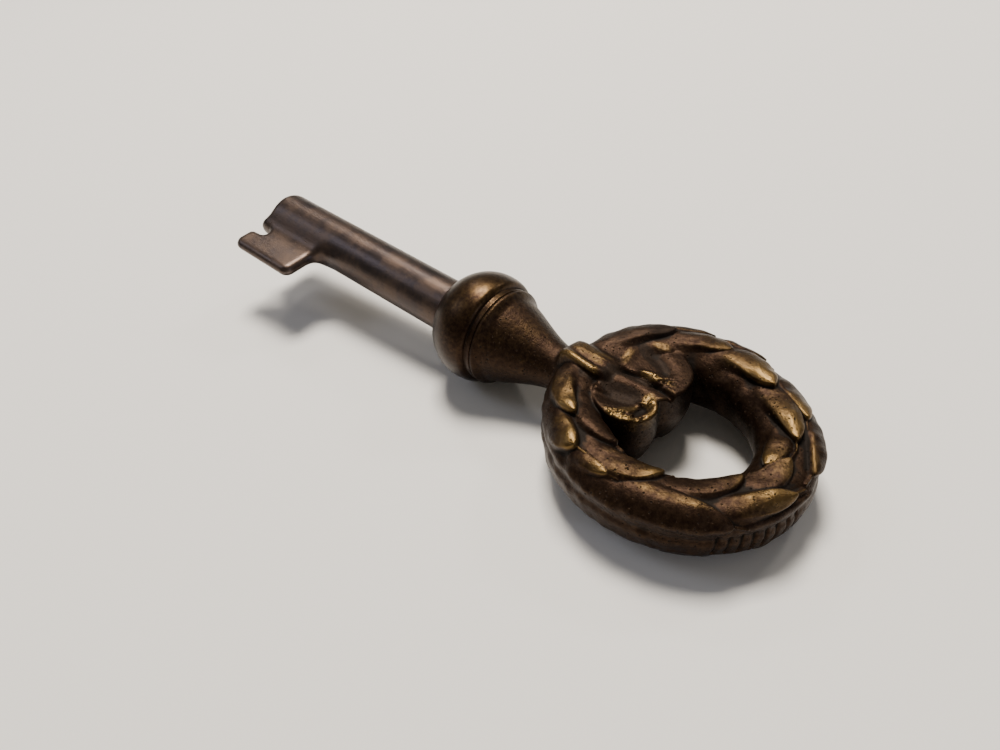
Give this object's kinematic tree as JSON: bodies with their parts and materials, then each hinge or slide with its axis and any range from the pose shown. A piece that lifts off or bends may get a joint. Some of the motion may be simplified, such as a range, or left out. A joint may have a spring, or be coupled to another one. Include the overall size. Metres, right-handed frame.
{
  "type": "furniture key",
  "caption": "Old furniture-lock key: bored steel barrel with a flat notched bit, bead ferrule and cast bronze laurel-wreath bow with a ribbon bow in its eye.",
  "frame": {"origin": "centre of the barrel's mouth, on the axis of the bore that the lock's drill pin enters", "axes": "+X along the key from the barrel's mouth to the far end of the wreath, +Z square to the flat of the bit and of the wreath, so the bit points to -Y"},
  "size_m": [0.0724, 0.024, 0.0122],
  "materials": {
    "bow_bronze": "dark patina, rubbed bright on the leaf tips",
    "ferrule_bronze": "dark patina, smooth",
    "barrel_steel": "aged, satin",
    "bit_steel": "aged, satin",
    "braze_brass": "tarnished",
    "pin_steel": "plain"
  },
  "bodies": {
    "root": {"wreath_bow": "bow_bronze", "bead_ferrule": "ferrule_bronze", "barrel": "barrel_steel", "bit": "bit_steel", "bit_braze": "braze_brass", "cross_pin": "pin_steel"}
  },
  "joints": []
}
